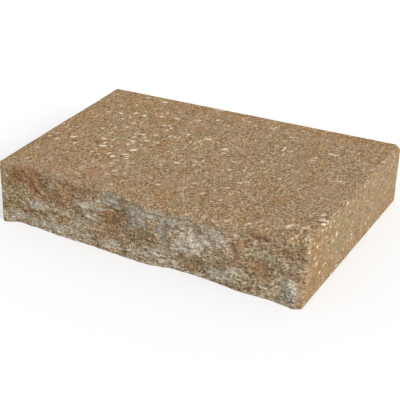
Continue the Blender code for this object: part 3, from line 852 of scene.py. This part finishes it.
class WallBlockLook(PropertyGroup):
    """Colours and grain of the concrete."""

    skin_dark: shade("Skin, dark", "Dark grains of the moulded faces", "533B22")
    skin: shade("Skin", "Middle tone of the moulded faces", "8E7353")
    skin_light: shade("Skin, light", "Light grains of the moulded faces", "E3CCA9")
    pink: shade("Pink tint", "Pinkish clouds of the moulded faces", "A98573")
    olive: shade("Olive tint", "Olive clouds of the moulded faces", "918B5E")
    # This orange filter also darkens: on the right end next to the split face it stands for painted
    # shade of that end's curving front edge
    orange: shade("Orange tint", "Orange clouds, laid over the grain as a filter", "FFF0D8")
    cream: shade("Cream stones", "Duller stones that show", "CFBA94")
    pale: shade("Pale stones", "Brightest stones that show", "F4E8CE")
    pore: shade("Pores", "Small dark pores", "5A442C")
    pit: shade("Pits", "Few deep pits, almost black", "2C2116")
    split_dark: shade("Break, dark", "Dark grains of the break", "49371F")
    split: shade("Break", "Middle tone of the break", "9B8363")
    split_light: shade("Break, light", "Light grains of the break", "DFD1B8")
    grey_dark: shade("Grey, dark", "Dark grains of the grey patches", "625F54")
    grey_light: shade("Grey, light", "Light grains of the grey patches", "C2C0B5")
    rust_dark: shade("Rust, dark", "Dark grains of the rusty patches", "47280E")
    rust_light: shade("Rust, light", "Light grains of the rusty patches", "B5845A")
    brown_dark: shade("Brown, dark", "Dark grains of the brown patches", "3F2B14")
    brown_light: shade("Brown, light", "Light grains of the brown patches", "B08C5E")
    moss_dark: shade("Moss, dark", "Dark grains of the olive patches", "4A4529")
    moss_light: shade("Moss, light", "Light grains of the olive patches", "BFB88E")
    lime_dark: shade("Lime, dark", "Dark grains of the pale lime patches", "7A705C")
    lime_light: shade("Lime, light", "Light grains of the pale lime patches", "EDE6D6")
    skin_contrast: amount("Skin contrast", "Strength of the skin's grain", 0.84)
    split_contrast: amount("Break contrast", "Strength of the break's grain", 0.8)
    streaks: amount("Streaks", "Strength of the streaks of the break", 1.0)
    end_calm: amount("Calm uprights", "Share of the grain lost on the upright faces", 0.2)
    skin_relief: amount("Skin relief", "Share of the grain's relief that the skin has", 0.55)
    bump: amount("Bump", "Strength of the grain's relief", 0.8)
    bump_rise: measure("Bump rise", "Height of the grain's relief", 0.7)


class WallBlockStage(PropertyGroup):
    """The camera's place and the lamps of a plain studio."""

    azimuth: amount(
        "Azimuth", "How far the camera stands round to the right", radians(28.43), subtype="ANGLE",
    )
    elevation: amount("Elevation", "How far the camera looks down", radians(28.0), subtype="ANGLE")
    camera_place: FloatVectorProperty(
        name="Camera", description="The camera's place, measured from the nominal split's foot",
        default=(0.4238, -0.6467, 0.4843), subtype="TRANSLATION", unit="LENGTH",
    )
    lens: amount("Lens", "Focal length on a 36 mm sensor", 74.8)
    lamp_direction: FloatVectorProperty(
        name="Lamp direction", description="Where the broad lamp shines from",
        default=(0.80, -0.36, 0.48), subtype="DIRECTION",
    )
    lamp_strength: amount("Lamp", "Strength of the broad lamp", 2.2)
    lamp_angle: amount(
        "Lamp breadth", "How broad the lamp looks from the block", radians(20), subtype="ANGLE",
    )
    sky_strength: amount("Sky", "Strength of the light all round", 0.68)
    floor_size: measure("Floor", "Half the width of the floor", 6000.0)
    floor_glow: amount("Floor glow", "Share of the floor that glows white", 0.5)


class WALLBLOCK_OT_block(Operator):
    """Make the block's surface and its concrete"""

    bl_idname = "wall_block.make_block"
    bl_label = "Make the block"

    def execute(self, context):
        form = context.scene.wall_block_form
        lattice, quads, triangles = weld(*block_surface(form))
        points, rounded = settle(form, lattice)
        mesh = bpy.data.meshes.new("dressed_block")
        mesh.from_pydata(points.tolist(), [], [*quads.tolist(), *triangles.tolist()])
        mesh.shade_smooth()
        x, z = rounded[:, 0], rounded[:, 2]
        along, up = 2 * x / form.front_length, z / form.height
        below_rim = form.height - z - rounded[:, 1]
        below_skin = below_rim - form.shoulder_height * along_rim(SKIN_REACH_SHARES, along)
        inside = np.minimum(below_skin, form.front_length / 2 - x - form.end_shoulder)
        near = (lattice[:, 1] < WELD) | (lattice[:, 2] > form.height - WELD)
        paint(mesh, "broken", near * (0.5 + inside / SKIN_BLUR))
        outside = np.maximum(np.abs(x) - form.front_length / 2, rounded[:, 1] - form.depth)
        paint(mesh, "calm", 1 + outside / form.arris_radius)
        for name, table in SPLIT_PAINT.items():
            paint(mesh, name, ovals(table, along, up))
        for name, table in SKIN_PAINT.items():
            paint(mesh, name, ovals(table, along, rounded[:, 1] / form.depth, up))
        mesh.materials.append(pressed_concrete(context.scene.wall_block_look))
        piece = bpy.data.objects.new("dressed_block", mesh)
        context.scene.collection.objects.link(piece)
        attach(piece, "root")
        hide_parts(NODE)
        return {"FINISHED"}


class WALLBLOCK_OT_stage(Operator):
    """Make the floor, the light and the camera"""

    bl_idname = "wall_block.make_stage"
    bl_label = "Make the stage"

    def execute(self, context):
        stage = context.scene.wall_block_stage
        self.make_floor(context, stage)
        self.make_light(context, stage)
        camera = bpy.data.objects.new("camera", bpy.data.cameras.new("camera"))
        camera.data.lens = stage.lens
        camera.data.clip_end = 4 * stage.floor_size
        split_foot = Vector((0, cad_high.y - context.scene.wall_block_form.depth, cad_low.z))
        camera.location = split_foot + Vector(stage.camera_place)
        camera.rotation_euler = Euler((radians(90) - stage.elevation, 0, stage.azimuth))
        context.scene.collection.objects.link(camera)
        context.scene.camera = camera
        return {"FINISHED"}

    def make_floor(self, context, stage):
        """A wide pale floor. The camera sees it white, and the block's shadow stays on it."""
        half = stage.floor_size
        mesh = bpy.data.meshes.new("floor")
        corners = [(-half, -half, 0), (half, -half, 0), (half, half, 0), (-half, half, 0)]
        mesh.from_pydata(corners, [], [(0, 1, 2, 3)])
        floor = bpy.data.objects.new("floor", mesh)
        context.scene.collection.objects.link(floor)
        material = bpy.data.materials.new("pale_floor")
        material.use_nodes = True
        tree = material.node_tree
        tree.nodes.clear()
        make = partial(add, tree)
        seen, pale, white = self.seen_directly(make), opaque(FLOOR_PALE), opaque(WHITE)
        coat = make("Mix", {0: seen, 6: pale, 7: white}, output=2, data_type="RGBA")
        coat = make("BsdfDiffuse", {"Color": coat})
        share = make("Math", {0: seen, 1: stage.floor_glow}, operation="MULTIPLY")
        glow = make("Emission", {"Color": white, "Strength": 1.0})
        make("OutputMaterial", {"Surface": make("MixShader", {0: share, 1: coat, 2: glow})})
        mesh.materials.append(material)

    def make_light(self, context, stage):
        """Even white light all round, and one broad soft lamp from the right."""
        world = bpy.data.worlds.new("studio")
        context.scene.world = world
        world.use_nodes = True
        tree = world.node_tree
        tree.nodes.clear()
        make = partial(add, tree)
        glow = make("Background", {"Color": opaque(WHITE), "Strength": stage.sky_strength})
        white = make("Background", {"Color": opaque(WHITE), "Strength": 1.0})
        light = make("MixShader", {0: self.seen_directly(make), 1: glow, 2: white})
        make("OutputWorld", {"Surface": light})
        lamp = bpy.data.lights.new("broad_lamp", "SUN")
        lamp.energy = stage.lamp_strength
        lamp.angle = stage.lamp_angle
        holder = bpy.data.objects.new("broad_lamp", lamp)
        holder.rotation_euler = Vector(stage.lamp_direction).to_track_quat("Z", "Y").to_euler()
        context.scene.collection.objects.link(holder)
        context.scene.view_settings.view_transform = "Standard"

    def seen_directly(self, make):
        """1 for rays from the camera, or on from it by way of metal or glass, and 0 for light."""
        seen = make("LightPath", output="Is Camera Ray")
        path = seen.node.outputs
        for ray in ("Is Glossy Ray", "Is Transmission Ray"):
            seen = make("Math", {0: seen, 1: path[ray]}, operation="MAXIMUM")
        return seen


class WALLBLOCK_PT_panel(Panel):
    """Lists the steps in the sidebar"""

    bl_idname = "WALLBLOCK_PT_panel"
    bl_label = "Wall Block"
    bl_space_type = "VIEW_3D"
    bl_region_type = "UI"
    bl_category = "Wall Block"

    def draw(self, context):
        for operator in (WALLBLOCK_OT_block, WALLBLOCK_OT_stage):
            self.layout.operator(operator.bl_idname)
        for group in (WallBlockForm, WallBlockLook, WallBlockStage):
            for name in group.__annotations__:
                self.layout.prop(getattr(context.scene, GROUPS[group]), name)


GROUPS = {
    WallBlockForm: "wall_block_form",
    WallBlockLook: "wall_block_look",
    WallBlockStage: "wall_block_stage",
}
CLASSES = (*GROUPS, WALLBLOCK_OT_block, WALLBLOCK_OT_stage, WALLBLOCK_PT_panel)


def register():
    for item in CLASSES:
        bpy.utils.register_class(item)
    for group, name in GROUPS.items():
        setattr(bpy.types.Scene, name, PointerProperty(type=group))


def unregister():
    for name in GROUPS.values():
        delattr(bpy.types.Scene, name)
    for item in reversed(CLASSES):
        bpy.utils.unregister_class(item)


def main():
    register()
    bpy.ops.wall_block.make_block()
    bpy.ops.wall_block.make_stage()


if __name__ == "__main__":
    main()
